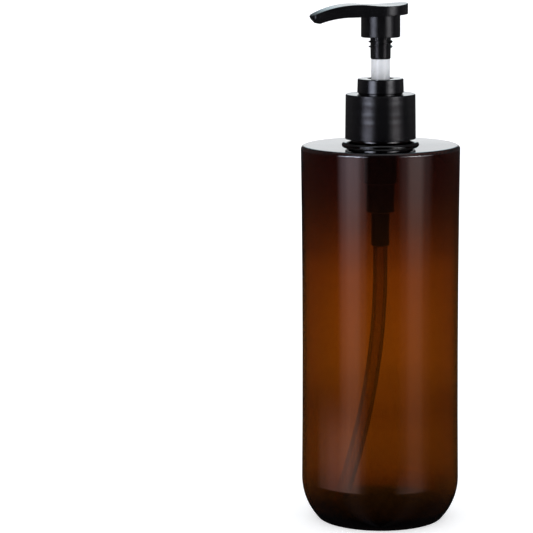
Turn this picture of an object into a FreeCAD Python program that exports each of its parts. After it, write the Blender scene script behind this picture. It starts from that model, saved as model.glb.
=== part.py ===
"""Pump oil bottle: a round 500 ml bottle with a 28 mm screw neck and a lock-down dispensing pump.

Millimetres, +Z up. The origin is the centre of the bottle's base, where it stands. The pump is drawn
raised, with its nozzle towards -X, and every piece sits where it does in the assembled object.
"""
import FreeCAD, Part
import math
import os
import re
import Sketcher
from FreeCAD import Placement, Rotation, Vector

# Driving dimensions. Heights are measured from the surface that the bottle stands on.
DIMENSIONS = {
    # bottle body
    "bottle_radius": 34.0,
    "wall": 0.8,
    "shoulder_height": 162.7,
    "shoulder_rise": 0.15,
    "shoulder_edge": 1.6,
    "waist_depth": 0.43,
    "corner_radius": 25.7,
    "corner_height": 17.7,
    "foot_inner": 22.5,
    "foot_outer": 26.9,
    "foot_edge": 1.2,
    "foot_flare": 27.4,
    "foot_flare_height": 0.5,
    "dome_rise": 5.0,
    "gate_radius": 2.5,
    "floor_thickness": 1.5,
    # bottle neck and its screw thread
    "neck_bore": 10.8,
    "neck_outer": 12.6,
    "neck_blend": 1.5,
    "ring_radius": 16.55,
    "ring_root": 15.2,
    "ring_height": 163.0,
    "ring_top": 164.15,
    "ring_round": 1.6,
    "lip_height": 180.4,
    "lip_edge": 0.4,
    "thread_pitch": 4.2333,
    "thread_turns": 1.5,
    "thread_crest": 13.8,
    "thread_root_width": 2.4,
    "thread_crest_width": 1.1,
    "thread_start": 171.65,
    # closure
    "closure_bottom": 165.45,
    "closure_top": 184.55,
    "closure_outer": 15.1,
    "closure_draft": 0.2,
    "closure_edge": 0.45,
    "closure_bore": 13.95,
    "closure_roof": 182.65,
    "closure_hole": 9.35,
    "cap_thread_crest": 12.9,
    "cap_thread_root_width": 2.1,
    "cap_thread_crest_width": 0.9,
    # neck gasket
    "gasket_inner": 9.4,
    "gasket_outer": 12.9,
    "gasket_thickness": 0.95,
    # small gap left between pieces that touch in the real object
    "contact_gap": 0.05,
    # lock ring on top of the closure
    "lock_top": 191.1,
    "lock_bottom": 184.8,
    "lock_outer": 9.93,
    "lock_draft": 0.16,
    "lock_edge": 0.45,
    "lock_neck": 9.07,
    "lock_skirt": 7.95,
    "lock_skirt_bottom": 177.65,
    "lock_bore": 5.2,
    # pump housing
    "flange_radius": 13.0,
    "flange_top": 182.6,
    "flange_thickness": 1.15,
    "cup_outer": 9.2,
    "cup_bore": 8.0,
    "cup_bottom": 171.15,
    "cup_floor": 175.15,
    "barrel_outer": 7.05,
    "barrel_bore": 6.0,
    "barrel_bottom": 146.05,
    "barrel_bore_bottom": 147.15,
    "valve_outer": 6.05,
    "valve_bore": 5.0,
    "valve_bottom": 133.75,
    "valve_ledge": 139.15,
    "ball_bore": 3.1,
    "seat_top": 135.2,
    "inlet_bore": 1.5,
    "nipple_outer": 3.9,
    "nipple_bore": 3.15,
    "nipple_stop": 131.9,
    "nipple_end": 119.15,
    "nipple_chamfer": 0.5,
    # stem guide
    "guide_outer": 7.9,
    "guide_bore": 4.15,
    "guide_bottom": 175.2,
    "guide_top": 177.6,
    # stem
    "stem_radius": 3.965,
    "stem_bore": 2.4,
    "stem_bottom": 175.25,
    "stem_shoulder": 199.35,
    "stem_plug": 3.2,
    "stem_top": 211.0,
    # piston rod
    "rod_radius": 2.35,
    "rod_bore": 1.5,
    "rod_top": 184.0,
    "rod_floor": 166.8,
    "rod_flange": 4.6,
    "rod_flange_top": 165.9,
    "rod_flange_bottom": 164.3,
    "rod_tail": 2.0,
    "rod_tip": 158.0,
    "port_radius": 0.7,
    "port_height": 167.7,
    # piston
    "piston_radius": 5.97,
    "piston_bore": 2.45,
    "piston_hub": 3.6,
    "piston_waist": 5.2,
    "piston_bottom": 165.95,
    "piston_top": 173.95,
    "lip_cup": 1.9,
    "lip_flare": 1.0,
    # return spring
    "spring_radius": 4.2,
    "spring_wire": 0.4,
    "spring_turns": 7.0,
    "spring_bottom": 140.05,
    "spring_top": 164.25,
    # ball valve
    "retainer_radius": 4.95,
    "retainer_hole": 1.9,
    "retainer_thickness": 0.8,
    "retainer_slot_reach": 3.4,
    "retainer_slot_width": 1.0,
    "ball_radius": 2.4,
    "ball_height": 135.52,
    # dip tube
    "tube_radius": 3.1,
    "tube_bore": 2.1,
    "tube_top": 131.2,
    "tube_bend_top": 109.15,
    "tube_bend_radius": 287.0,
    "tube_end": 6.2,
    # actuator head
    "head_radius": 11.6,
    "head_reach": 31.5,
    "nose_setback": 30.0,
    "nose_half_width": 3.51,
    "head_shoulder_x": 4.248,
    "head_side_radius": 135.0,
    "crest_x": -12.0,
    "crest_height": 222.78,
    "crest_curve": 43.0,
    "dip_x": 0.0,
    "dip_height": 222.141,
    "dip_curve": 70.0,
    "arm_underside": 217.4,
    "arm_underside_x": -14.5,
    "nozzle_bottom": 214.9,
    "nozzle_bottom_x": -28.3,
    "head_rear_underside": 218.35,
    "head_edge": 0.3,
    "skirt_radius": 8.33,
    "skirt_bore": 7.1,
    "skirt_bottom": 208.6,
    "skirt_bore_top": 217.0,
    "sleeve_radius": 4.28,
    "sleeve_top_radius": 4.5,
    "sleeve_bottom": 199.4,
    "sleeve_edge": 0.3,
    "sleeve_bore": 3.22,
    "sleeve_bore_top": 211.3,
    "flow_bore": 1.9,
    "flow_height": 219.9,
    "nozzle_bore": 1.2,
    "channel_bend_x": -14.0,
    "channel_curve": 42.0,
    "lug_crest": 5.08,
    "lug_lead": 4.2,
    "lug_turns": 0.95,
    "lug_height": 204.4,
    "lug_start_angle": 143.0,
    "lug_root_width": 1.0,
    "lug_crest_width": 0.4,
}

SIDE_VIEW = "XZ_Plane"
PLAN_VIEW = "XY_Plane"
FRONT_VIEW = "YZ_Plane"


def make_sheet(doc):
    """The spreadsheet that holds the driving dimensions, one alias to a row."""
    sheet = doc.addObject("Spreadsheet::Sheet", "dims")
    for row, (name, number) in enumerate(DIMENSIONS.items(), start=1):
        sheet.set(f"A{row}", name)
        sheet.set(f"B{row}", str(number))
        sheet.setAlias(f"B{row}", name)
    doc.recompute()
    return sheet


def formula(text):
    """An expression in which each plain word is a dimension of the sheet."""
    return re.sub(r"[a-z_]\w*", r"dims.\g<0>", text)


def size(doc, text):
    """The number that a formula gives."""
    return float(doc.dims.evalExpression(formula(text)))


def new_body(doc, name):
    body = doc.addObject("PartDesign::Body", name)
    body.Label = name
    return body


def new_sketch(body, plane, name):
    """A sketch flat on one of the body's own origin planes."""
    sketch = body.newObject("Sketcher::SketchObject", name)
    origin = [item for item in body.Origin.OriginFeatures if item.Role == plane]
    sketch.AttachmentSupport = [(origin[0], "")]
    sketch.MapMode = "FlatFace"
    return sketch


def bind(sketch, constraint, text):
    index = sketch.addConstraint(constraint)
    sketch.setExpression(f"Constraints[{index}]", formula(text))


def anticlockwise_arc(start, middle, end):
    """The arc through three points, drawn the way that a sketch keeps its arcs."""
    turn = (middle - start).cross(end - middle).z
    return Part.Arc(start, middle, end) if turn > 0 else Part.Arc(end, middle, start)


def arc_between(start, end, radius):
    """An arc from start to end. A positive radius bows it to the left of that direction."""
    chord = end - start
    half = chord.Length / 2
    sagitta = abs(radius) - math.sqrt(radius * radius - half * half)
    left = Vector(-chord.y, chord.x, 0).normalize()
    middle = (start + end) * 0.5 + left * math.copysign(sagitta, radius)
    return anticlockwise_arc(start, middle, end)


def draw_outline(doc, sketch, corners):
    """Draws a closed outline and binds every corner to the sheet.

    A corner is (x, y), joined to the next corner by a line, or (x, y, side, radius), joined by an arc
    that bows to the left (side 1) or right (side -1) on the way there.
    """
    points = [Vector(size(doc, corner[0]), size(doc, corner[1]), 0) for corner in corners]
    ends = []
    for number, corner in enumerate(corners):
        start = points[number]
        end = points[(number + 1) % len(points)]
        if len(corner) == 2:
            index = sketch.addGeometry(Part.LineSegment(start, end), False)
            ends.append((index, 1, 2))
        else:
            radius = corner[2] * size(doc, corner[3])
            index = sketch.addGeometry(arc_between(start, end, radius), False)
            forward = sketch.Geometry[index].StartPoint.isEqual(start, 1e-6)
            ends.append((index, 1, 2) if forward else (index, 2, 1))
    for number, corner in enumerate(corners):
        index, start_end, far_end = ends[number]
        after = ends[(number + 1) % len(ends)]
        sketch.addConstraint(Sketcher.Constraint("Coincident", index, far_end, after[0], after[1]))
        point = points[number]
        bind(sketch, Sketcher.Constraint("DistanceX", -1, 1, index, start_end, point.x), corner[0])
        bind(sketch, Sketcher.Constraint("DistanceY", -1, 1, index, start_end, point.y), corner[1])
        if len(corner) == 4:
            bind(sketch, Sketcher.Constraint("Radius", index, size(doc, corner[3])), corner[3])


def draw_circle(doc, sketch, x, y, radius):
    centre = Vector(size(doc, x), size(doc, y), 0)
    index = sketch.addGeometry(Part.Circle(centre, Vector(0, 0, 1), size(doc, radius)), False)
    bind(sketch, Sketcher.Constraint("DistanceX", -1, 1, index, 3, centre.x), x)
    bind(sketch, Sketcher.Constraint("DistanceY", -1, 1, index, 3, centre.y), y)
    bind(sketch, Sketcher.Constraint("Radius", index, size(doc, radius)), radius)


def turn_outline(doc, body, name, corners, kind="PartDesign::Revolution"):
    """Revolves an outline, given as radius and height, about Z."""
    sketch = new_sketch(body, SIDE_VIEW, name + "_outline")
    draw_outline(doc, sketch, corners)
    turned = body.newObject(kind, name)
    turned.Profile = sketch
    turned.ReferenceAxis = (sketch, ["V_Axis"])
    turned.Angle = 360
    doc.recompute()
    return turned


def add_ridge(doc, body, name, root, crest, height, root_width, crest_width, pitch, turns, angle="0"):
    """Adds a right-hand screw ridge that climbs from the given height. Widths are along Z.

    It starts at the given angle, in degrees, from the +X side.
    """
    sketch = new_sketch(body, SIDE_VIEW, name + "_section")
    sketch.AttachmentOffset = Placement(Vector(), Rotation(Vector(0, 1, 0), size(doc, angle)))
    sketch.setExpression("AttachmentOffset.Rotation.Angle", formula(angle))
    corners = [
        (root, f"{height} - {root_width} / 2"),
        (crest, f"{height} - {crest_width} / 2"),
        (crest, f"{height} + {crest_width} / 2"),
        (root, f"{height} + {root_width} / 2"),
    ]
    draw_outline(doc, sketch, corners)
    ridge = body.newObject("PartDesign::AdditiveHelix", name)
    ridge.Profile = sketch
    ridge.ReferenceAxis = (sketch, ["V_Axis"])
    ridge.Mode = "pitch-turns-angle"
    ridge.setExpression("Pitch", formula(pitch))
    ridge.setExpression("Turns", formula(turns))
    doc.recompute()
    return ridge


def edges_where(shape, test):
    """The names of the shape's edges whose middle passes the test."""
    names = []
    for number, edge in enumerate(shape.Edges, start=1):
        middle = edge.valueAt((edge.FirstParameter + edge.LastParameter) / 2)
        if test(middle, edge):
            names.append(f"Edge{number}")
    return names


def round_edges(doc, body, base, name, radius, test):
    """Rounds the edges of a feature that pass the test."""
    fillet = body.newObject("PartDesign::Fillet", name)
    fillet.Base = (base, edges_where(base.Shape, test))
    fillet.setExpression("Radius", formula(radius))
    doc.recompute()
    return fillet


def pocket_through(doc, body, sketch, name):
    """Cuts a sketch through everything, to both sides of its plane."""
    pocket = body.newObject("PartDesign::Pocket", name)
    pocket.Profile = sketch
    pocket.SideType = "Symmetric"
    pocket.Type = "ThroughAll"
    doc.recompute()
    return pocket


# ---------------------------------------------------------------------------- bottle and closure


def make_bottle(doc):
    """One blown shell: domed base, slightly waisted wall, flat shoulder, support ring and screw neck."""
    body = new_body(doc, "bottle")
    waist = "((shoulder_height - shoulder_edge - corner_height)^2 / 4 + waist_depth^2) / (2 * waist_depth)"
    dome = "((foot_inner - gate_radius)^2 + dome_rise^2) / (2 * dome_rise)"
    inner_wall = "bottle_radius - wall"
    inner_step = f"({inner_wall} - foot_flare + wall / 2)"
    inner_rise = "(corner_height - floor_thickness - wall / 4)"
    inner_corner = f"({inner_step}^2 + {inner_rise}^2) / (2 * {inner_step})"
    straight_top = "shoulder_height - shoulder_edge"
    outline = [
        ("0", "dome_rise"),
        ("gate_radius", "dome_rise", 1, dome),
        ("foot_inner", "0"),
        ("foot_outer", "0", -1, "foot_edge"),
        ("foot_flare", "foot_flare_height", -1, "corner_radius"),
        ("bottle_radius", "corner_height", 1, waist),
        ("bottle_radius", straight_top, -1, "shoulder_edge"),
        ("bottle_radius - shoulder_edge", "shoulder_height"),
        ("ring_radius - shoulder_rise", "shoulder_height + shoulder_rise"),
        ("ring_radius", "ring_height"),
        ("ring_radius", "ring_height + shoulder_rise", -1, "ring_round"),
        ("ring_root", "ring_top"),
        ("neck_outer", "ring_top + lip_edge"),
        ("neck_outer", "lip_height - lip_edge"),
        ("neck_outer - lip_edge", "lip_height"),
        ("neck_bore", "lip_height"),
        ("neck_bore", "shoulder_height - wall + neck_blend", -1, "neck_blend"),
        ("neck_bore + neck_blend", "shoulder_height - wall"),
        ("bottle_radius - shoulder_edge", "shoulder_height - wall", 1, "shoulder_edge - wall"),
        (inner_wall, straight_top, -1, waist),
        (inner_wall, "corner_height", 1, inner_corner),
        ("foot_flare - wall / 2", "floor_thickness + wall / 4"),
        ("foot_inner + wall / 2", "floor_thickness - wall / 4", -1, dome),
        ("gate_radius", "dome_rise + floor_thickness"),
        ("0", "dome_rise + floor_thickness"),
    ]
    turn_outline(doc, body, "shell", outline)
    add_ridge(
        doc, body, "neck_thread", "neck_outer - wall / 2", "thread_crest", "thread_start",
        "thread_root_width", "thread_crest_width", "thread_pitch", "thread_turns",
    )
    return body


def make_closure(doc):
    """The plain round screw cap that clamps the pump's flange onto the neck."""
    body = new_body(doc, "closure")
    outline = [
        ("closure_bore", "closure_bottom"),
        ("closure_outer - closure_edge / 2", "closure_bottom", -1, "closure_edge / 2"),
        ("closure_outer", "closure_bottom + closure_edge / 2"),
        ("closure_outer - closure_draft", "closure_top - closure_edge", -1, "closure_edge"),
        ("closure_outer - closure_draft - closure_edge", "closure_top"),
        ("closure_hole", "closure_top"),
        ("closure_hole", "closure_roof"),
        ("closure_bore", "closure_roof"),
    ]
    turn_outline(doc, body, "cap", outline)
    add_ridge(
        doc, body, "cap_thread", "closure_bore + wall / 4", "cap_thread_crest",
        "thread_start - thread_pitch / 2", "cap_thread_root_width", "cap_thread_crest_width",
        "thread_pitch", "thread_turns",
    )
    return body


def make_neck_gasket(doc):
    """The flat washer between the bottle's lip and the pump's flange."""
    body = new_body(doc, "neck_gasket")
    outline = [
        ("gasket_inner", "lip_height + contact_gap"),
        ("gasket_outer", "lip_height + contact_gap"),
        ("gasket_outer", "lip_height + contact_gap + gasket_thickness"),
        ("gasket_inner", "lip_height + contact_gap + gasket_thickness"),
    ]
    turn_outline(doc, body, "washer", outline)
    return body


def make_chaplet(doc):
    """The lock ring: it closes the housing's cup, guides the head and holds the closure captive."""
    body = new_body(doc, "chaplet")
    outline = [
        ("lock_bore", "lock_skirt_bottom"),
        ("lock_skirt", "lock_skirt_bottom"),
        ("lock_skirt", "flange_top + contact_gap"),
        ("lock_neck", "flange_top + contact_gap"),
        ("lock_neck", "lock_bottom"),
        ("lock_outer - lock_edge", "lock_bottom"),
        ("lock_outer", "lock_bottom + lock_edge"),
        ("lock_outer - lock_draft", "lock_top - lock_edge", -1, "lock_edge"),
        ("lock_outer - lock_draft - lock_edge", "lock_top"),
        ("lock_bore + lock_edge", "lock_top"),
        ("lock_bore", "lock_top - lock_edge"),
    ]
    turn_outline(doc, body, "ring", outline)
    return body


# ---------------------------------------------------------------------------- pump engine


def make_stem_guide(doc):
    """The wiper washer under the lock ring that centres the stem."""
    body = new_body(doc, "stem_guide")
    outline = [
        ("guide_bore", "guide_bottom"),
        ("guide_outer", "guide_bottom"),
        ("guide_outer", "guide_top"),
        ("guide_bore + lip_edge", "guide_top"),
        ("guide_bore", "guide_top - lip_edge"),
    ]
    turn_outline(doc, body, "wiper", outline)
    return body


def make_pump_housing(doc):
    """The stepped barrel under the closure, with the ball valve's seat and the dip tube's nipple."""
    body = new_body(doc, "pump_housing")
    outline = [
        ("nipple_bore", "nipple_end"),
        ("nipple_outer - nipple_chamfer", "nipple_end"),
        ("nipple_outer", "nipple_end + nipple_chamfer"),
        ("nipple_outer", "valve_bottom - nipple_chamfer"),
        ("valve_outer", "valve_bottom + nipple_chamfer"),
        ("valve_outer", "barrel_bottom"),
        ("barrel_outer", "barrel_bottom + nipple_chamfer"),
        ("barrel_outer", "cup_bottom"),
        ("cup_outer", "cup_bottom + nipple_chamfer"),
        ("cup_outer", "flange_top - flange_thickness"),
        ("flange_radius", "flange_top - flange_thickness"),
        ("flange_radius", "flange_top"),
        ("cup_bore", "flange_top"),
        ("cup_bore", "cup_floor"),
        ("barrel_bore", "cup_floor"),
        ("barrel_bore", "barrel_bore_bottom"),
        ("valve_bore", "barrel_bore_bottom - nipple_chamfer"),
        ("valve_bore", "valve_ledge"),
        ("ball_bore", "valve_ledge"),
        ("ball_bore", "seat_top"),
        ("inlet_bore", "seat_top - ball_bore + inlet_bore"),
        ("inlet_bore", "nipple_stop"),
        ("nipple_bore", "nipple_stop"),
    ]
    turn_outline(doc, body, "barrel", outline)
    return body


def make_stem(doc):
    """The white tube that carries the head and passes the oil up from the piston."""
    body = new_body(doc, "stem")
    outline = [
        ("stem_bore", "stem_bottom"),
        ("stem_radius", "stem_bottom"),
        ("stem_radius", "stem_shoulder"),
        ("stem_plug", "stem_shoulder"),
        ("stem_plug", "stem_top"),
        ("stem_bore", "stem_top"),
    ]
    turn_outline(doc, body, "tube", outline)
    return body


def make_piston_rod(doc):
    """The hollow rod under the stem: side ports, a flange that seals the piston, and the spring's peg."""
    body = new_body(doc, "piston_rod")
    outline = [
        ("0", "rod_tip"),
        ("rod_tail - lip_edge", "rod_tip"),
        ("rod_tail", "rod_tip + lip_edge"),
        ("rod_tail", "rod_flange_bottom"),
        ("rod_flange", "rod_flange_bottom"),
        ("rod_flange", "rod_flange_top"),
        ("rod_radius", "rod_flange_top"),
        ("rod_radius", "rod_top"),
        ("rod_bore", "rod_top"),
        ("rod_bore", "rod_floor"),
        ("0", "rod_floor"),
    ]
    turn_outline(doc, body, "rod", outline)
    for number, plane in enumerate((SIDE_VIEW, FRONT_VIEW), start=1):
        sketch = new_sketch(body, plane, f"port_circle_{number}")
        draw_circle(doc, sketch, "0", "port_height", "port_radius")
        pocket_through(doc, body, sketch, f"ports_{number}")
    return body


def make_piston(doc):
    """The double-lipped seal that rides on the rod between its flange and the stem."""
    body = new_body(doc, "piston")
    outline = [
        ("piston_bore", "piston_bottom"),
        ("piston_hub", "piston_bottom"),
        ("piston_hub", "piston_bottom + lip_cup"),
        ("piston_hub + lip_edge * 2", "piston_bottom + lip_cup"),
        ("piston_radius - lip_flare", "piston_bottom"),
        ("piston_radius - lip_edge", "piston_bottom"),
        ("piston_radius", "piston_bottom + lip_edge"),
        ("piston_radius", "piston_bottom + lip_flare"),
        ("piston_waist", "piston_bottom + lip_flare + lip_cup"),
        ("piston_waist", "piston_top - lip_flare - lip_cup"),
        ("piston_radius", "piston_top - lip_flare"),
        ("piston_radius", "piston_top - lip_edge"),
        ("piston_radius - lip_edge", "piston_top"),
        ("piston_radius - lip_flare", "piston_top"),
        ("piston_hub + lip_edge * 2", "piston_top - lip_cup"),
        ("piston_hub", "piston_top - lip_cup"),
        ("piston_hub", "piston_top - lip_flare"),
        ("piston_bore", "piston_top - lip_flare"),
    ]
    turn_outline(doc, body, "seal", outline)
    return body


def make_return_spring(doc):
    """The steel coil that raises the head again."""
    body = new_body(doc, "return_spring")
    sketch = new_sketch(body, SIDE_VIEW, "wire_section")
    draw_circle(doc, sketch, "spring_radius", "spring_bottom + spring_wire", "spring_wire")
    coil = body.newObject("PartDesign::AdditiveHelix", "coil")
    coil.Profile = sketch
    coil.ReferenceAxis = (sketch, ["V_Axis"])
    coil.Mode = "pitch-turns-angle"
    coil.setExpression("Pitch", formula("(spring_top - spring_bottom - 2 * spring_wire) / spring_turns"))
    coil.setExpression("Turns", formula("spring_turns"))
    doc.recompute()
    return body


def make_ball_retainer(doc):
    """The slotted disc that keeps the ball near its seat and lets oil past it."""
    body = new_body(doc, "ball_retainer")
    outline = [
        ("retainer_hole", "valve_ledge + contact_gap"),
        ("retainer_radius", "valve_ledge + contact_gap"),
        ("retainer_radius", "valve_ledge + contact_gap + retainer_thickness"),
        ("retainer_hole", "valve_ledge + contact_gap + retainer_thickness"),
    ]
    disc = turn_outline(doc, body, "disc", outline)
    before = disc.Shape.Volume
    sketch = new_sketch(body, PLAN_VIEW, "slot_outline")
    reach = "retainer_slot_reach"
    half_width = "retainer_slot_width / 2"
    slot = [
        (f"-{reach}", f"-{half_width}"),
        (reach, f"-{half_width}"),
        (reach, half_width),
        (f"-{reach}", half_width),
    ]
    draw_outline(doc, sketch, slot)
    cut = pocket_through(doc, body, sketch, "slot")
    cross = body.newObject("PartDesign::PolarPattern", "slot_cross")
    cross.Originals = [cut]
    cross.Axis = (sketch, ["N_Axis"])
    cross.Angle = 90
    cross.Occurrences = 2
    body.Tip = cross
    doc.recompute()
    assert cross.Shape.Volume < cut.Shape.Volume < before, "the retainer's slots cut nothing"
    return body


def make_check_ball(doc):
    """The steel ball that closes the inlet while the pump is pressed."""
    ball = doc.addObject("Part::Sphere", "check_ball")
    ball.Label = "check_ball"
    ball.setExpression("Radius", formula("ball_radius"))
    ball.setExpression("Placement.Base.z", formula("ball_height"))
    return ball


def make_dip_tube(doc):
    """The plastic tube down to the foot of the bottle: straight in the nipple, then one long bend."""
    body = new_body(doc, "dip_tube")
    section = new_sketch(body, PLAN_VIEW, "tube_section")
    section.setExpression("AttachmentOffset.Base.z", formula("tube_top"))
    draw_circle(doc, section, "0", "0", "tube_radius")
    draw_circle(doc, section, "0", "0", "tube_bore")
    path = new_sketch(body, SIDE_VIEW, "tube_path")
    top = Vector(0, size(doc, "tube_top"), 0)
    bend = Vector(0, size(doc, "tube_bend_top"), 0)
    radius = size(doc, "tube_bend_radius")
    turn = math.asin((bend.y - size(doc, "tube_end")) / radius)
    centre = bend - Vector(radius, 0, 0)
    along = [centre + Vector(math.cos(part), -math.sin(part), 0) * radius for part in (turn / 2, turn)]
    line = path.addGeometry(Part.LineSegment(top, bend), False)
    arc = path.addGeometry(anticlockwise_arc(bend, along[0], along[1]), False)
    near, far = (1, 2) if path.Geometry[arc].StartPoint.isEqual(bend, 1e-6) else (2, 1)
    path.addConstraint(Sketcher.Constraint("Tangent", line, 2, arc, near))
    path.addConstraint(Sketcher.Constraint("Vertical", line))
    path.addConstraint(Sketcher.Constraint("PointOnObject", line, 1, -2))
    bind(path, Sketcher.Constraint("DistanceY", -1, 1, line, 1, top.y), "tube_top")
    bind(path, Sketcher.Constraint("DistanceY", -1, 1, line, 2, bend.y), "tube_bend_top")
    bind(path, Sketcher.Constraint("Radius", arc, radius), "tube_bend_radius")
    bind(path, Sketcher.Constraint("DistanceY", -1, 1, arc, far, along[1].y), "tube_end")
    doc.recompute()
    tube = body.newObject("PartDesign::AdditivePipe", "tube")
    tube.Profile = section
    tube.Spine = (path, ["Edge1", "Edge2"])
    doc.recompute()
    return body


# ---------------------------------------------------------------------------- actuator head


def head_side_outline():
    """The head from the side: S-curved top, raked nozzle mouth and curved underside."""
    crest_centre = "(crest_height - crest_curve)"
    dip_centre = "(dip_height + dip_curve)"
    share = "crest_curve / (crest_curve + dip_curve)"
    meeting_x = f"crest_x + (dip_x - crest_x) * {share}"
    meeting_height = f"{crest_centre} + ({dip_centre} - {crest_centre}) * {share}"
    fall = "(arm_underside - nozzle_bottom)"
    underside = f"((arm_underside_x - nozzle_bottom_x)^2 + {fall}^2) / (2 * {fall})"
    return [
        (
            "-head_reach",
            f"{crest_centre} + (crest_curve^2 - (crest_x + head_reach)^2)^0.5",
            1,
            "crest_curve",
        ),
        (meeting_x, meeting_height, -1, "dip_curve"),
        ("head_radius", f"{dip_centre} - (dip_curve^2 - (head_radius - dip_x)^2)^0.5"),
        ("head_radius", "head_rear_underside"),
        ("arm_underside_x", "arm_underside", -1, underside),
        ("nozzle_bottom_x", "nozzle_bottom"),
    ]


def head_plan_outline():
    """The head from above: a teardrop, round about the stem and narrowing to a blunt nozzle."""
    nose = "(nose_half_width^2 + (head_reach - nose_setback)^2) / (2 * (head_reach - nose_setback))"
    shoulder_y = "(head_radius^2 - head_shoulder_x^2)^0.5"
    return [
        ("-head_shoulder_x", shoulder_y, 1, "head_side_radius"),
        ("-nose_setback", "nose_half_width", -1, nose),
        ("-nose_setback", "-nose_half_width", 1, "head_side_radius"),
        ("-head_shoulder_x", f"-1 * {shoulder_y}", -1, "head_radius"),
        ("head_radius", "0", -1, "head_radius"),
    ]


def make_head_arm(doc, body):
    """The teardrop arm: its side view padded across, then trimmed to its plan view and rounded."""
    side = new_sketch(body, SIDE_VIEW, "arm_side")
    draw_outline(doc, side, head_side_outline())
    slab = body.newObject("PartDesign::Pad", "arm_slab")
    slab.Profile = side
    slab.SideType = "Symmetric"
    slab.setExpression("Length", formula("head_radius * 2 + head_edge"))
    doc.recompute()
    plan = new_sketch(body, PLAN_VIEW, "arm_plan")
    draw_outline(doc, plan, head_plan_outline())
    margin = "(head_reach + head_radius)"
    frame = [
        (f"-{margin}", f"-{margin}"),
        (margin, f"-{margin}"),
        (margin, margin),
        (f"-{margin}", margin),
    ]
    draw_outline(doc, plan, frame)
    arm = pocket_through(doc, body, plan, "arm")
    assert arm.Shape.Volume < slab.Shape.Volume * 0.8, "the arm's plan view cut nothing"
    return round_edges(doc, body, arm, "arm_rounds", "head_edge", lambda middle, edge: True)


def add_head_skirt(doc, body):
    """The round skirt under the arm and, inside it, the sleeve that grips the stem."""
    skirt = [
        ("skirt_bore", "skirt_bottom"),
        ("skirt_radius - sleeve_edge", "skirt_bottom"),
        ("skirt_radius", "skirt_bottom + sleeve_edge"),
        ("skirt_radius", "head_rear_underside + sleeve_edge"),
        ("0", "head_rear_underside + sleeve_edge"),
        ("0", "skirt_bore_top"),
        ("skirt_bore", "skirt_bore_top"),
    ]
    turn_outline(doc, body, "skirt", skirt)
    sleeve = [
        ("sleeve_bore", "sleeve_bottom"),
        ("sleeve_radius - sleeve_edge", "sleeve_bottom"),
        ("sleeve_radius", "sleeve_bottom + sleeve_edge"),
        ("sleeve_top_radius", "skirt_bore_top + sleeve_edge"),
        ("flow_bore", "skirt_bore_top + sleeve_edge"),
        ("flow_bore", "sleeve_bore_top"),
        ("sleeve_bore", "sleeve_bore_top"),
    ]
    turn_outline(doc, body, "sleeve", sleeve)


def add_lock_thread(doc, body):
    """The two-start screw on the sleeve that holds the head down in the lock ring."""
    ridge = add_ridge(
        doc, body, "lock_ridge", "sleeve_radius - sleeve_edge", "lug_crest", "lug_height",
        "lug_root_width", "lug_crest_width", "lug_lead", "lug_turns", "lug_start_angle",
    )
    pair = body.newObject("PartDesign::PolarPattern", "lock_thread")
    pair.Originals = [ridge]
    pair.Axis = (ridge.Profile[0], ["V_Axis"])
    pair.Angle = 360
    pair.Occurrences = 2
    body.Tip = pair
    doc.recompute()
    assert pair.Shape.Volume > ridge.Shape.Volume, "the second start of the lock thread is missing"


def cut_flow_passage(doc, body):
    """The bore up from the stem, and the channel that runs from it along the arm to the nozzle."""
    solid = body.Tip.Shape.Volume
    riser = [
        ("0", "sleeve_bore_top - sleeve_edge"),
        ("flow_bore", "sleeve_bore_top - sleeve_edge"),
        ("flow_bore", "flow_height"),
        ("0", "flow_height"),
    ]
    turn_outline(doc, body, "riser", riser, "PartDesign::Groove")
    assert body.Tip.Shape.Volume < solid, "the riser cut nothing"
    solid = body.Tip.Shape.Volume
    mouth = new_sketch(body, FRONT_VIEW, "channel_section")
    draw_circle(doc, mouth, "0", "flow_height", "nozzle_bore")
    path = new_sketch(body, SIDE_VIEW, "channel_path")
    start = Vector(0, size(doc, "flow_height"), 0)
    bend = Vector(size(doc, "channel_bend_x"), start.y, 0)
    curve = size(doc, "channel_curve")
    turn = math.asin((size(doc, "head_reach + nozzle_bore") + bend.x) / curve)
    centre = bend - Vector(0, curve, 0)
    along = [centre + Vector(-math.sin(part), math.cos(part), 0) * curve for part in (turn / 2, turn)]
    line = path.addGeometry(Part.LineSegment(start, bend), False)
    arc = path.addGeometry(anticlockwise_arc(bend, along[0], along[1]), False)
    near, far = (1, 2) if path.Geometry[arc].StartPoint.isEqual(bend, 1e-6) else (2, 1)
    path.addConstraint(Sketcher.Constraint("Tangent", line, 2, arc, near))
    path.addConstraint(Sketcher.Constraint("Horizontal", line))
    path.addConstraint(Sketcher.Constraint("PointOnObject", line, 1, -2))
    bind(path, Sketcher.Constraint("DistanceY", -1, 1, line, 1, start.y), "flow_height")
    bind(path, Sketcher.Constraint("DistanceX", -1, 1, line, 2, bend.x), "channel_bend_x")
    bind(path, Sketcher.Constraint("Radius", arc, curve), "channel_curve")
    bind(path, Sketcher.Constraint("DistanceX", -1, 1, arc, far, along[1].x), "-(head_reach + nozzle_bore)")
    doc.recompute()
    channel = body.newObject("PartDesign::SubtractivePipe", "channel")
    channel.Profile = mouth
    channel.Spine = (path, ["Edge1", "Edge2"])
    doc.recompute()
    assert body.Tip.Shape.Volume < solid, "the nozzle channel cut nothing"


def make_actuator_head(doc):
    """The head that is pressed: thumb rest, nozzle arm, skirt and the sleeve with its lock thread."""
    body = new_body(doc, "actuator_head")
    make_head_arm(doc, body)
    add_head_skirt(doc, body)
    add_lock_thread(doc, body)
    cut_flow_passage(doc, body)
    return body


# ---------------------------------------------------------------------------- the whole bottle

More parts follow.
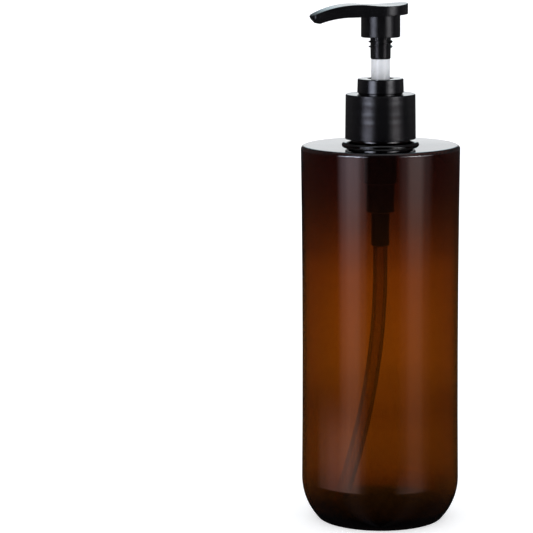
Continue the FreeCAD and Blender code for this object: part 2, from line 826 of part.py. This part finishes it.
PIECES = [
    make_bottle,
    make_closure,
    make_neck_gasket,
    make_chaplet,
    make_stem_guide,
    make_pump_housing,
    make_actuator_head,
    make_stem,
    make_piston_rod,
    make_piston,
    make_return_spring,
    make_ball_retainer,
    make_check_ball,
    make_dip_tube,
]


def check_document(doc, pieces):
    """Stops with a message if any feature failed or any piece isn't one valid solid."""
    for item in doc.Objects:
        if "Invalid" in item.State or "Error" in item.State:
            raise RuntimeError(f"{item.Label} failed: {item.State}")
    for piece in pieces:
        shape = piece.Shape
        if shape.isNull() or not shape.isValid() or len(shape.Solids) != 1:
            raise RuntimeError(f"{piece.Label} is not one valid solid")
        print(f"{piece.Label}: {shape.Volume / 1000:.3f} cm3")


def main():
    doc = FreeCAD.newDocument("pump_oil_bottle")
    make_sheet(doc)
    pieces = [make_piece(doc) for make_piece in PIECES]
    doc.recompute()
    check_document(doc, pieces)
    os.makedirs("parts", exist_ok=True)
    for piece in pieces:
        piece.Shape.exportStep(f"parts/{piece.Label}.step")


main()
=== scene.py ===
"""Pump oil bottle: looks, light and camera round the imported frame.

Everything is in metres in the part's own frame: the bottle stands on z = 0 with its axis on Z, and the
nozzle points along -X.
"""
import math

import bpy
from mathutils import Matrix, Vector


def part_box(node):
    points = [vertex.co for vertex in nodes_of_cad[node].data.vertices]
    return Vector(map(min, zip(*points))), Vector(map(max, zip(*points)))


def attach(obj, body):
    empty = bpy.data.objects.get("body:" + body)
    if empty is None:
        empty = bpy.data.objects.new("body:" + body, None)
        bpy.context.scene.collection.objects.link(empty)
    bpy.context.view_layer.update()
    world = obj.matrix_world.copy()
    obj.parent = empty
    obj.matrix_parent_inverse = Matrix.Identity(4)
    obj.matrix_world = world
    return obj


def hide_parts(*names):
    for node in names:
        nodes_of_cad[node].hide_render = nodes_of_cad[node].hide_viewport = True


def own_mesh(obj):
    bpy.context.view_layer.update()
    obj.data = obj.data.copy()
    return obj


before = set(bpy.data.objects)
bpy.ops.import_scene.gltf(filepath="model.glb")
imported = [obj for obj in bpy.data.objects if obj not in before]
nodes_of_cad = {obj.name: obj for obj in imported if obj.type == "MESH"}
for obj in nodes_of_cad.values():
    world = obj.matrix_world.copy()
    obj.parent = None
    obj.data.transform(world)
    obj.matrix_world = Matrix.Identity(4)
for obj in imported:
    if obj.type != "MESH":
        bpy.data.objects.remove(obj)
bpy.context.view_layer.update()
scene = bpy.context.scene

BEARING = math.radians(-20.0)
DISTANCE = 1.0236
HEIGHT = 0.2768
PITCH = math.radians(-9.248)
PAN = math.radians(2.742)
ROLL = math.radians(-0.35)
LENS_MM = 162.5
SENSOR_MM = 36.0
CLIP = (0.05, 50.0)

TO_CAMERA = Vector((math.sin(BEARING), -math.cos(BEARING), 0.0))
TO_RIGHT = Vector((math.cos(BEARING), math.sin(BEARING), 0.0))


class Graph:
    """Short names for building one node tree."""

    def __init__(self, tree):
        self.tree = tree
        tree.nodes.clear()

    def node(self, kind, inputs=None, **settings):
        made = self.tree.nodes.new("ShaderNode" + kind)
        for name, value in settings.items():
            setattr(made, name, value)
        for name, value in (inputs or {}).items():
            socket = made.inputs[name]
            if isinstance(value, bpy.types.NodeSocket):
                self.tree.links.new(value, socket)
            else:
                socket.default_value = value
        return made

    def math(self, operation, *values, clamp=False):
        made = self.node("Math", dict(enumerate(values)), operation=operation, use_clamp=clamp)
        return made.outputs[0]

    def dot(self, vector, constant):
        made = self.node("VectorMath", {0: vector, 1: tuple(constant)}, operation="DOT_PRODUCT")
        return made.outputs["Value"]

    def noise(self, vector, scale, detail=2.0, roughness=0.5, distortion=0.0):
        inputs = {
            "Vector": vector,
            "Scale": scale,
            "Detail": detail,
            "Roughness": roughness,
            "Distortion": distortion,
        }
        return self.node("TexNoise", inputs).outputs["Fac"]

    def cells(self, vector, scale):
        return self.node("TexVoronoi", {"Vector": vector, "Scale": scale}).outputs["Distance"]

    def part(self, vector, axis):
        return self.node("SeparateXYZ", {"Vector": vector}).outputs[axis]

    def facing(self):
        """0 where the surface is square to the ray, 1 where it is edge on."""
        return self.node("LayerWeight", {"Blend": 0.5}).outputs["Facing"]

    def remap(self, value, low, high, to_low=0.0, to_high=1.0, smooth=False):
        made = self.node(
            "MapRange",
            {"Value": value, "From Min": low, "From Max": high, "To Min": to_low, "To Max": to_high},
            interpolation_type="SMOOTHSTEP" if smooth else "LINEAR",
        )
        return made.outputs["Result"]

    def fade_in(self, value, low, high):
        return self.remap(value, low, high, smooth=True)

    def fade_out(self, value, low, high):
        return self.remap(value, low, high, 1.0, 0.0, smooth=True)

    def band(self, value, centre, half_width):
        """1 on the centre, and 0 half a width away from it."""
        offset = self.math("ABSOLUTE", self.math("SUBTRACT", value, centre))
        return self.fade_out(offset, 0.0, half_width)

    def drawn_out(self, vector, along_z):
        """The same coordinates with Z scaled down, which draws a pattern out into upright streaks."""
        return self.node("Mapping", {"Vector": vector, "Scale": (1.0, 1.0, along_z)}).outputs["Vector"]

    def ramp(self, value, stops, interpolation="LINEAR"):
        made = self.node("ValToRGB", {"Fac": value})
        ramp = made.color_ramp
        ramp.interpolation = interpolation
        while len(ramp.elements) < len(stops):
            ramp.elements.new(0.5)
        for element, (position, colour) in zip(ramp.elements, stops):
            element.position = position
            element.color = (*colour, 1.0)
        return made.outputs["Color"]

    def ramp_over(self, value, low, high, stops, interpolation="LINEAR"):
        """A ramp whose stops are given in the value's own unit, from low to high."""
        shares = [((stop - low) / (high - low), colour) for stop, colour in stops]
        return self.ramp(self.remap(value, low, high), shares, interpolation)

    def mix(self, factor, a, b, blend="MIX"):
        inputs = {"Factor": factor, 6: a, 7: b}
        made = self.node("Mix", inputs, data_type="RGBA", blend_type=blend, clamp_factor=True)
        return made.outputs[2]

    def times(self, a, b):
        return self.mix(1.0, a, b, "MULTIPLY")

    def plus(self, a, b):
        return self.mix(1.0, a, b, "ADD")


def grey(value):
    return (value, value, value)


def socket_grey(value):
    """A grey with its alpha, for a colour socket."""
    return (*grey(value), 1.0)


def material(name, **constants):
    """A material, its graph, its principled shader and object coordinates.

    The constants go on the shader's own sockets.
    """
    made = bpy.data.materials.new(name)
    made.use_nodes = True
    graph = Graph(made.node_tree)
    output = graph.node("OutputMaterial")
    inputs = {key.replace("_", " "): value for key, value in constants.items()}
    shader = graph.node("BsdfPrincipled", inputs)
    graph.tree.links.new(shader.outputs["BSDF"], output.inputs["Surface"])
    place = graph.node("TexCoord").outputs["Object"]
    return made, graph, shader, place


def set_input(graph, shader, name, value):
    graph.tree.links.new(value, shader.inputs[name])


def bump(graph, shader, layers, normal=None):
    """Bumps one on another. Each layer is (height, strength, distance in metres)."""
    for height, strength, distance in layers:
        inputs = {"Height": height, "Strength": strength, "Distance": distance}
        if normal is not None:
            inputs["Normal"] = normal
        normal = graph.node("Bump", inputs).outputs["Normal"]
    set_input(graph, shader, "Normal", normal)


# ---------------------------------------------------------------- amber PET
# Height up the bottle in metres, and the wall's tint there, darker under the shoulder and at the foot, as
# in the photograph. It is partly the amber's own colour and partly painted light and shade: a painted fall
# of the light behind the bottle, lighter in the middle, that leaves the neck and the foot near black.
AMBER_TINT_AND_SHADE_STOPS = [
    (0.0000, (0.012, 0.008, 0.008)),
    (0.0040, (0.026, 0.012, 0.009)),
    (0.0066, (0.200, 0.068, 0.018)),
    (0.0105, (0.300, 0.110, 0.022)),
    (0.0145, (0.380, 0.152, 0.025)),
    (0.0200, (0.462, 0.200, 0.028)),
    (0.0290, (0.505, 0.225, 0.030)),
    (0.0420, (0.490, 0.212, 0.028)),
    (0.0510, (0.460, 0.192, 0.026)),
    (0.0660, (0.605, 0.268, 0.032)),
    (0.0880, (0.605, 0.260, 0.032)),
    (0.1090, (0.545, 0.222, 0.034)),
    (0.1230, (0.360, 0.140, 0.042)),
    (0.1370, (0.235, 0.090, 0.042)),
    (0.1470, (0.178, 0.063, 0.045)),
    (0.1600, (0.150, 0.056, 0.045)),
    (0.1634, (0.040, 0.015, 0.012)),
]
AMBER_TOP = 0.185
# The height, in metres, by which a cloudy drift moves those tints up and down.
TINT_DRIFT = 0.003
# The tint of the pushed-up base inside the foot ring, near black: partly its thicker plastic, and partly
# painted shade where no light comes from below. Its mask ends between these heights, and between these
# distances from the axis.
BASE_TINT_AND_SHADE = (0.012, 0.007, 0.006, 1.0)
BASE_HEIGHTS = (0.009, 0.013)
BASE_RADII = (0.0215, 0.0255)
# What the tint is multiplied by on the foot's rounded corner: painted shade, darker and bluer there. Its
# mask ends between these heights, and grows between these facings.
CORNER_PAINTED_SHADE = (0.16, 0.17, 0.35, 1.0)
CORNER_HEIGHTS = (0.0085, 0.0175)
CORNER_FACINGS = (0.12, 0.45)
# The wall's refraction, and a weaker one that keeps the base from mirroring the lit wall behind it.
PET_IOR = 1.57
BASE_IOR = 1.04
# What the tint is multiplied by as the wall turns away, by facing (0 square on, 1 edge on).
EDGE_DARKENING = [
    (0.00, (1.00, 1.00, 1.00)),
    (0.12, (1.00, 1.00, 1.00)),
    (0.22, (0.86, 0.86, 0.84)),
    (0.32, (0.79, 0.77, 0.70)),
    (0.50, (0.74, 0.62, 0.42)),
    (0.64, (0.72, 0.50, 0.28)),
    (0.74, (0.30, 0.16, 0.14)),
    (0.80, (0.14, 0.09, 0.10)),
    (1.00, (0.10, 0.06, 0.08)),
]
# The mould's parting line runs up both sides of the bottle as the camera sees it.
SEAM_HALF_WIDTH = 0.00022
# The standing ring is scuffed up to this height.
SCUFF_HEIGHT = 0.0022


def amber_pet():
    made, g, shader, place = material("amber_pet", Transmission_Weight=1.0)
    height = g.part(place, "Z")
    drift = g.math("SUBTRACT", g.noise(place, 18.0), 0.5)
    lifted = g.math("ADD", height, g.math("MULTIPLY", drift, TINT_DRIFT))
    # The height ramp paints light and shade into the amber tint: lighter mid-body, near black at the neck
    # and foot.
    stops = [(z / AMBER_TOP, colour) for z, colour in AMBER_TINT_AND_SHADE_STOPS]
    tint = g.ramp(g.math("DIVIDE", lifted, AMBER_TOP), stops, "EASE")

    flat = g.node("VectorMath", {0: place, 1: (1.0, 1.0, 0.0)}, operation="MULTIPLY").outputs["Vector"]
    radius = g.node("VectorMath", {0: flat}, operation="LENGTH").outputs["Value"]
    low_down = g.remap(height, *BASE_HEIGHTS, 1.0, 0.0)
    base = g.math("MULTIPLY", low_down, g.fade_out(radius, *BASE_RADII))
    # Near-black base tint: partly thick plastic, partly painted shade.
    tint = g.mix(base, tint, BASE_TINT_AND_SHADE)
    set_input(g, shader, "IOR", g.remap(base, 0.0, 1.0, PET_IOR, BASE_IOR))

    facing = g.facing()
    tint = g.times(tint, g.ramp(facing, EDGE_DARKENING))
    # Painted shade on the foot's rounded corner, stronger as the wall turns away.
    low_down = g.fade_out(height, *CORNER_HEIGHTS)
    corner = g.math("MULTIPLY", low_down, g.fade_in(facing, *CORNER_FACINGS))
    tint = g.mix(corner, tint, g.times(tint, CORNER_PAINTED_SHADE))
    streaks = g.noise(g.drawn_out(place, 0.12), 55.0, detail=3.0, roughness=0.55)
    tint = g.times(tint, g.ramp(streaks, [(0.25, grey(0.94)), (0.75, grey(1.0))]))
    set_input(g, shader, "Base Color", tint)

    smudge = g.noise(place, 38.0, detail=4.0, roughness=0.6, distortion=0.4)
    set_input(g, shader, "Roughness", g.remap(smudge, 0.35, 0.75, 0.018, 0.060))

    waves = g.noise(g.drawn_out(place, 0.30), 26.0, detail=1.0)
    ripple = g.noise(g.drawn_out(place, 0.08), 120.0)
    seam = g.band(g.dot(place, TO_CAMERA), 0.0, SEAM_HALF_WIDTH)
    scuff_zone = g.remap(height, 0.0, SCUFF_HEIGHT, 1.0, 0.0)
    scuff = g.math("MULTIPLY", g.noise(place, 1400.0, detail=3.0, roughness=0.7), scuff_zone)
    layers = [
        (waves, 0.16, 0.0016),
        (ripple, 0.05, 0.0003),
        (seam, 0.35, 0.00006),
        (scuff, 0.5, 0.0001),
    ]
    bump(g, shader, layers)
    return made


# ---------------------------------------------------------------- black polypropylene
BLACK_DARKER = (0.0030, 0.0030, 0.0036)
BLACK_PALER = (0.0058, 0.0056, 0.0062)
SKIN_GRAIN = 0.10
PARTING_HALF_WIDTH = 0.00012
# How deep a sink mark or a parting line is drawn: bump strength and distance in metres.
LINE_DEPTH = (0.5, 0.00003)


def black_plastic(name, roughness, sink_marks=(), parting_line=False, soft_edge=0.0):
    """Black polypropylene: a fine moulded skin and hand marks.

    Where asked, it has shallow sink marks round Z, a parting line, or edges softened by a radius.
    """
    made, g, shader, place = material(name, IOR=1.49)
    cloud = g.noise(place, 90.0, detail=4.0, roughness=0.6)
    set_input(g, shader, "Base Color", g.ramp(cloud, [(0.30, BLACK_DARKER), (0.72, BLACK_PALER)]))

    handling = g.noise(place, 150.0, detail=5.0, roughness=0.62, distortion=0.6)
    rough = g.remap(handling, 0.30, 0.78, roughness * 0.82, roughness * 1.35)
    dust = g.remap(g.cells(place, 900.0), 0.02, 0.08, 0.09, 0.0)
    set_input(g, shader, "Roughness", g.math("ADD", rough, dust, clamp=True))

    swell = g.noise(place, 160.0)
    skin = g.noise(place, 3200.0, roughness=0.6)
    layers = [(swell, 0.12, 0.00022), (skin, SKIN_GRAIN, 0.00002)]
    if sink_marks:
        height = g.part(place, "Z")
        total = None
        for centre, half_width in sink_marks:
            mark = g.band(height, centre, half_width)
            total = mark if total is None else g.math("ADD", total, mark)
        layers.append((total, *LINE_DEPTH))
    if parting_line:
        line = g.band(g.part(place, "Y"), 0.0, PARTING_HALF_WIDTH)
        layers.append((line, *LINE_DEPTH))
    softened = None
    if soft_edge:
        softened = g.node("Bevel", {"Radius": soft_edge}, samples=6).outputs["Normal"]
    bump(g, shader, layers, softened)
    return made


# ---------------------------------------------------------------- other plastics
def pale_plastic(name, colour, roughness, draw_lines=False):
    """White or natural moulded plastic: slightly waxy, clouded, with a fine skin."""
    made, g, shader, place = material(
        name,
        IOR=1.5,
        Subsurface_Weight=0.15,
        Subsurface_Radius=(0.9, 0.8, 0.7),
        Subsurface_Scale=0.0012,
    )
    cloud = g.noise(place, 140.0, detail=4.0, roughness=0.6)
    darker = tuple(c * 0.93 for c in colour)
    set_input(g, shader, "Base Color", g.ramp(cloud, [(0.3, darker), (0.7, colour)]))
    marks = g.noise(place, 420.0, detail=4.0, roughness=0.6, distortion=0.5)
    set_input(g, shader, "Roughness", g.remap(marks, 0.3, 0.75, roughness * 0.8, roughness * 1.3))
    layers = [(g.noise(place, 2600.0), 0.10, 0.00002)]
    if draw_lines:
        lines = g.noise(g.drawn_out(place, 0.02), 1500.0)
        layers.append((lines, 0.12, 0.00002))
    bump(g, shader, layers)
    return made


def foam_gasket():
    made, g, shader, place = material("gasket", IOR=1.5)
    cells = g.cells(place, 2600.0)
    tint = g.ramp(cells, [(0.0, (0.78, 0.78, 0.75)), (0.6, (0.90, 0.90, 0.88))])
    set_input(g, shader, "Base Color", tint)
    set_input(g, shader, "Roughness", g.remap(cells, 0.0, 0.8, 0.85, 0.60))
    bump(g, shader, [(cells, 0.6, 0.00008)])
    return made


# What the tube's tint is multiplied by as its wall turns away, by facing.
TUBE_EDGE = [
    (0.00, (1.00, 1.00, 1.00)),
    (0.16, (0.96, 0.96, 0.96)),
    (0.28, (0.50, 0.46, 0.44)),
    (0.42, (0.08, 0.07, 0.07)),
    (1.00, (0.05, 0.04, 0.04)),
]


def tube_plastic():
    """Natural polyethylene tube: clear enough to see through, darker along its edges, with drawn lines."""
    made, g, shader, place = material("natural_tube", Transmission_Weight=1.0, IOR=1.5)
    cloud = g.noise(place, 160.0, detail=3.0)
    tint = g.ramp(cloud, [(0.3, (0.66, 0.59, 0.52)), (0.7, (0.73, 0.66, 0.58))])
    set_input(g, shader, "Base Color", g.times(tint, g.ramp(g.facing(), TUBE_EDGE)))
    haze = g.noise(place, 240.0, detail=3.0, roughness=0.6)
    set_input(g, shader, "Roughness", g.remap(haze, 0.3, 0.75, 0.035, 0.075))
    lines = g.noise(g.drawn_out(place, 0.02), 900.0)
    bump(g, shader, [(lines, 0.06, 0.00001)])
    return made


def steel(name, roughness, grain_scale, grain_strength):
    """Stainless steel with a fine grain: strong on drawn wire, and weak on a polished ball."""
    made, g, shader, place = material(name, Metallic=1.0)
    stain = g.noise(place, 700.0, detail=4.0, roughness=0.6)
    tint = g.ramp(stain, [(0.3, (0.50, 0.50, 0.51)), (0.7, (0.66, 0.66, 0.68))])
    set_input(g, shader, "Base Color", tint)
    grain = g.noise(place, grain_scale, detail=3.0, roughness=0.7)
    set_input(g, shader, "Roughness", g.remap(grain, 0.3, 0.75, roughness * 0.7, roughness * 1.5))
    bump(g, shader, [(grain, grain_strength, 0.00001)])
    return made


# Shallow sink marks that the cap's thread and shoulder leave on its outer wall: (height, half width).
CAP_SINK_MARKS = [(0.1728, 0.0016), (0.1763, 0.0016), (0.1807, 0.0017)]
SOFT_EDGE = 0.00022

MATERIALS = {
    "bottle": amber_pet(),
    "closure": black_plastic("black_cap", roughness=0.16, sink_marks=CAP_SINK_MARKS),
    "neck_gasket": foam_gasket(),
    "chaplet": black_plastic("black_lock_ring", roughness=0.13),
    "stem_guide": pale_plastic("natural_guide", (0.84, 0.85, 0.83), roughness=0.38),
    "pump_housing": black_plastic("black_housing", roughness=0.30),
    "actuator_head": black_plastic("black_head", roughness=0.16, parting_line=True, soft_edge=SOFT_EDGE),
    "stem": pale_plastic("white_stem", (0.83, 0.845, 0.87), roughness=0.30, draw_lines=True),
    "piston_rod": pale_plastic("white_rod", (0.83, 0.84, 0.85), roughness=0.32),
    "piston": pale_plastic("natural_seal", (0.80, 0.83, 0.84), roughness=0.40),
    "ball_retainer": pale_plastic("natural_retainer", (0.82, 0.83, 0.83), roughness=0.40),
    "check_ball": steel("ball_steel", roughness=0.08, grain_scale=2600.0, grain_strength=0.05),
    "dip_tube": tube_plastic(),
}
for node_name, finish in MATERIALS.items():
    node = nodes_of_cad[node_name]
    node.data.materials.clear()
    node.data.materials.append(finish)


# ---------------------------------------------------------------- return spring
def mesh_object(name, vertices, faces, finish, smooth=True):
    mesh = bpy.data.meshes.new(name)
    mesh.from_pydata(vertices, [], faces)
    mesh.materials.append(finish)
    mesh.update()
    made = bpy.data.objects.new(name, mesh)
    scene.collection.objects.link(made)
    for polygon in mesh.polygons:
        polygon.use_smooth = smooth
    return made


WIRE_RADIUS = 0.00040
# Turns that touch at each end, and open turns between them.
DEAD_TURNS = 1.0
LIVE_TURNS = 6.0
STEPS_A_TURN = 48
WIRE_SIDES = 14
# The ends are ground flat, so the wire's centre starts this share of its radius from the spring's end.
GROUND_SHARE = 0.55


def coil_spring():
    """A compression spring with closed, ground ends, in the place of the CAD's even coil."""
    low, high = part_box("return_spring")
    coil_radius = high.x - WIRE_RADIUS
    turns = LIVE_TURNS + 2 * DEAD_TURNS
    steps = int(turns * STEPS_A_TURN)
    bottom = low.z + WIRE_RADIUS * GROUND_SHARE
    top = high.z - WIRE_RADIUS * GROUND_SHARE
    dead_rise = 2 * WIRE_RADIUS * DEAD_TURNS

    def rise(turn):
        if turn <= DEAD_TURNS:
            return bottom + 2 * WIRE_RADIUS * turn
        if turn >= turns - DEAD_TURNS:
            return top - 2 * WIRE_RADIUS * (turns - turn)
        share = (turn - DEAD_TURNS) / LIVE_TURNS
        return bottom + dead_rise + (top - bottom - 2 * dead_rise) * share

    vertices = []
    for step in range(steps + 1):
        turn = turns * step / steps
        angle = 2 * math.pi * turn
        outward = Vector((math.cos(angle), math.sin(angle), 0.0))
        centre = outward * coil_radius + Vector((0.0, 0.0, rise(turn)))
        for side in range(WIRE_SIDES):
            around = 2 * math.pi * side / WIRE_SIDES
            upward = Vector((0.0, 0.0, WIRE_RADIUS * math.sin(around)))
            point = centre + outward * (WIRE_RADIUS * math.cos(around)) + upward
            point.z = min(max(point.z, low.z), high.z)
            vertices.append(point)
    faces = []
    for step in range(steps):
        for side in range(WIRE_SIDES):
            a = step * WIRE_SIDES + side
            b = step * WIRE_SIDES + (side + 1) % WIRE_SIDES
            faces.append((a, b, b + WIRE_SIDES, a + WIRE_SIDES))
    faces.append(tuple(range(WIRE_SIDES))[::-1])
    faces.append(tuple(steps * WIRE_SIDES + side for side in range(WIRE_SIDES)))
    finish = steel("spring_steel", roughness=0.24, grain_scale=4200.0, grain_strength=0.25)
    return mesh_object("return_spring_coil", vertices, faces, finish), low, high


spring, spring_low, spring_high = coil_spring()
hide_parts("return_spring")
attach(spring, "pump")
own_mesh(spring)


# ---------------------------------------------------------------- floor
FLOOR_GLOW = 0.56
FLOOR_RINGS = [0.05, 0.15, 0.5, 2.0, 7.0]
FLOOR_SEGMENTS = 96


def pale_floor():
    """A round white floor, hidden from reflections and from rays through clear walls."""
    made, g, shader, place = material(
        "pale_floor",
        Specular_IOR_Level=0.2,
        Emission_Strength=FLOOR_GLOW,
        Emission_Color=socket_grey(1.0),
    )
    grain = g.noise(place, 420.0, detail=3.0, roughness=0.6)
    set_input(g, shader, "Base Color", g.ramp(grain, [(0.3, grey(0.80)), (0.7, grey(0.84))]))
    set_input(g, shader, "Roughness", g.remap(grain, 0.2, 0.8, 0.55, 0.75))
    bump(g, shader, [(grain, 0.05, 0.0001)])

    vertices = [(0.0, 0.0, 0.0)]
    for radius in FLOOR_RINGS:
        for k in range(FLOOR_SEGMENTS):
            angle = 2 * math.pi * k / FLOOR_SEGMENTS
            vertices.append((radius * math.cos(angle), radius * math.sin(angle), 0.0))
    faces = [(0, 1 + k, 1 + (k + 1) % FLOOR_SEGMENTS) for k in range(FLOOR_SEGMENTS)]
    for ring in range(len(FLOOR_RINGS) - 1):
        inner = 1 + ring * FLOOR_SEGMENTS
        outer = inner + FLOOR_SEGMENTS
        for k in range(FLOOR_SEGMENTS):
            after = (k + 1) % FLOOR_SEGMENTS
            faces.append((inner + k, outer + k, outer + after, inner + after))
    floor = mesh_object("studio_floor", vertices, faces, made, smooth=False)
    floor.visible_glossy = False
    floor.visible_transmission = False
    return floor


pale_floor()


# ---------------------------------------------------------------- studio light
# Colours here are by azimuth, from the camera's bearing to its right, or by elevation, both in degrees.
# Reflections and rays through clear walls meet them; the camera sees plain white behind the bottle.
#
# Two upright strips of light, by azimuth. Their colours are scaled by STRIP_POWER where they are
# reflected, and by STRIP_SEEN_THROUGH as well where they are seen through a clear wall.
STRIP_POWER = 20.0
STRIP_SEEN_THROUGH = 0.135
STRIPS = [
    (-180.0, (0.0, 0.0, 0.0)),
    (-66.0, (0.0, 0.0, 0.0)),
    (-54.0, (0.48, 0.51, 0.63)),
    (-46.0, (0.78, 0.83, 1.0)),
    (-35.0, (0.74, 0.79, 0.95)),
    (-25.0, (0.25, 0.27, 0.32)),
    (-16.0, (0.0, 0.0, 0.0)),
    (24.0, (0.0, 0.0, 0.0)),
    (35.0, (0.14, 0.14, 0.15)),
    (46.0, (0.53, 0.53, 0.55)),
    (58.0, (0.53, 0.53, 0.55)),
    (70.0, (0.14, 0.14, 0.15)),
    (84.0, (0.0, 0.0, 0.0)),
    (180.0, (0.0, 0.0, 0.0)),
]
# What the strips are multiplied by, by elevation. They are cut off above, so that flat tops don't mirror
# them, dim below the horizon, and amber low down, as the photographed wall's reflections are.
STRIP_FADE = [
    (-90.0, (0.002, 0.002, 0.002)),
    (-22.0, (0.003, 0.002, 0.002)),
    (-17.0, (0.009, 0.005, 0.004)),
    (-14.0, (0.029, 0.015, 0.012)),
    (-12.6, (0.039, 0.020, 0.013)),
    (-10.0, (0.070, 0.034, 0.021)),
    (-8.0, (0.096, 0.070, 0.063)),
    (-6.7, (0.121, 0.112, 0.114)),
    (-6.25, (0.034, 0.034, 0.037)),
    (-5.0, (0.036, 0.036, 0.039)),
    (-3.9, (0.054, 0.054, 0.057)),
    (-2.0, (0.078, 0.078, 0.080)),
    (0.5, (0.9, 0.9, 0.9)),
    (2.0, (1.0, 1.0, 1.0)),
    (6.0, (0.75, 0.75, 0.75)),
    (10.0, (0.08, 0.08, 0.08)),
    (19.0, (0.03, 0.03, 0.03)),
    (45.0, (0.03, 0.03, 0.03)),
    (90.0, (0.03, 0.03, 0.03)),
]
# Pale cards near the table, which show by the foot only. Each has its colours by azimuth, and four
# elevations: it fades in between the first two, and out between the last two.
LOW_CARDS = [
    (
        [
            (-108.0, (0.0, 0.0, 0.0)),
            (-92.0, (0.32, 0.18, 0.15)),
            (-72.0, (0.75, 0.38, 0.34)),
            (-50.0, (0.72, 0.42, 0.37)),
            (-38.0, (0.38, 0.27, 0.24)),
            (-24.0, (0.0, 0.0, 0.0)),
        ],
        (-15.2, -14.5, -13.1, -11.6),
    ),
    (
        [
            (18.0, (0.0, 0.0, 0.0)),
            (32.0, (1.00, 0.76, 0.74)),
            (46.0, (0.90, 0.62, 0.60)),
            (60.0, (0.55, 0.35, 0.30)),
            (78.0, (0.0, 0.0, 0.0)),
        ],
        (-16.6, -15.2, -14.5, -13.1),
    ),
]
# The dim room, by how far an azimuth is from the camera's. Below ROOM_LOW it is dimmed, and above
# ROOM_HIGH it has one colour.
ROOM = [
    (0.0, (0.020, 0.020, 0.024)),
    (60.0, (0.022, 0.022, 0.026)),
    (90.0, (0.080, 0.078, 0.086)),
    (115.0, (0.120, 0.114, 0.120)),
    (140.0, (0.060, 0.057, 0.060)),
    (180.0, (0.050, 0.050, 0.052)),
]
ROOM_LOW = (-7.5, -5.5)
ROOM_LOW_SHARE = 0.12
ROOM_HIGH = (45.0, 75.0)
ROOM_HIGH_COLOUR = (0.5, 0.52, 0.55, 1.0)
# The bright backdrop behind the bottle, seen only in reflections: where its side and its foot begin, where
# it dims, and how its colour changes with elevation.
BACKDROP_SIDE = (168.0, 176.0)
BACKDROP_FOOT = (-2.0, 1.0)
BACKDROP_DIMS = (20.0, 60.0)
BACKDROP_DIMMED = 0.25
BACKDROP_CHANGE = (8.5, 14.0)
BACKDROP_UNDER = (1.22, 1.25, 1.28, 1.0)
BACKDROP_OVER = (1.05, 1.40, 1.55, 1.0)
# What is seen through clear walls, what lights matt surfaces, and what the camera sees.
SEEN_THROUGH = 0.46
AMBIENT = (0.80, 0.81, 0.84, 1.0)
WHITE = 1.2


def studio_world():
    world = bpy.data.worlds.new("studio")
    scene.world = world
    world.use_nodes = True
    world.cycles.sampling_method = "NONE"
    g = Graph(world.node_tree)
    output = g.node("OutputWorld")
    direction = g.node("TexCoord").outputs["Generated"]
    rightward = g.dot(direction, TO_RIGHT)
    toward = g.dot(direction, TO_CAMERA)
    azimuth = g.math("DEGREES", g.math("ARCTAN2", rightward, toward))
    elevation = g.math("DEGREES", g.math("ARCSINE", g.part(direction, "Z")))

    strips = g.ramp_over(azimuth, -180.0, 180.0, STRIPS, "EASE")
    fade = g.ramp_over(elevation, -90.0, 90.0, STRIP_FADE, "EASE")
    strips = g.times(g.times(strips, fade), socket_grey(STRIP_POWER))
    for stops, (under, low_edge, high_edge, over) in LOW_CARDS:
        card = g.ramp_over(azimuth, -180.0, 180.0, stops, "EASE")
        rising = g.fade_in(elevation, under, low_edge)
        span = g.math("MULTIPLY", rising, g.fade_out(elevation, high_edge, over))
        strips = g.plus(strips, g.mix(span, socket_grey(0.0), card))

    aside = g.math("ABSOLUTE", azimuth)
    room = g.ramp_over(aside, 0.0, 180.0, ROOM)
    dimmed = g.times(room, socket_grey(ROOM_LOW_SHARE))
    room = g.mix(g.fade_in(elevation, *ROOM_LOW), dimmed, room)
    room = g.mix(g.fade_in(elevation, *ROOM_HIGH), room, ROOM_HIGH_COLOUR)

    behind = g.fade_in(aside, *BACKDROP_SIDE)
    backdrop_mask = g.math("MULTIPLY", behind, g.fade_in(elevation, *BACKDROP_FOOT))
    dims = g.remap(elevation, *BACKDROP_DIMS, 1.0, BACKDROP_DIMMED, smooth=True)
    backdrop_mask = g.math("MULTIPLY", backdrop_mask, dims)
    backdrop = g.mix(g.fade_in(elevation, *BACKDROP_CHANGE), BACKDROP_UNDER, BACKDROP_OVER)
    reflected = g.plus(g.mix(backdrop_mask, room, backdrop), strips)

    faint_strips = g.times(strips, socket_grey(STRIP_SEEN_THROUGH))
    through = g.plus(socket_grey(SEEN_THROUGH), faint_strips)

    path = g.node("LightPath")
    is_through = path.outputs["Is Transmission Ray"]
    is_reflected = g.math("MULTIPLY", path.outputs["Is Glossy Ray"], g.math("SUBTRACT", 1.0, is_through))
    colour = g.mix(is_through, socket_grey(WHITE), through)
    colour = g.mix(path.outputs["Is Diffuse Ray"], colour, AMBIENT)
    colour = g.mix(is_reflected, colour, reflected)
    background = g.node("Background", {"Color": colour, "Strength": 1.0})
    g.tree.links.new(background.outputs["Background"], output.inputs["Surface"])


studio_world()


# ---------------------------------------------------------------- camera
def studio_camera():
    data = bpy.data.cameras.new("camera")
    data.lens = LENS_MM
    data.sensor_width = SENSOR_MM
    data.clip_start, data.clip_end = CLIP
    camera = bpy.data.objects.new("camera", data)
    scene.collection.objects.link(camera)
    place = Matrix.Translation(TO_CAMERA * DISTANCE + Vector((0.0, 0.0, HEIGHT)))
    heading = Matrix.Rotation(BEARING + PAN, 4, "Z")
    tilt = Matrix.Rotation(math.pi / 2 + PITCH, 4, "X")
    roll = Matrix.Rotation(ROLL, 4, "Z")
    camera.matrix_world = place @ heading @ tilt @ roll
    scene.camera = camera


studio_camera()
scene.view_settings.view_transform = "Standard"
scene.view_settings.look = "None"
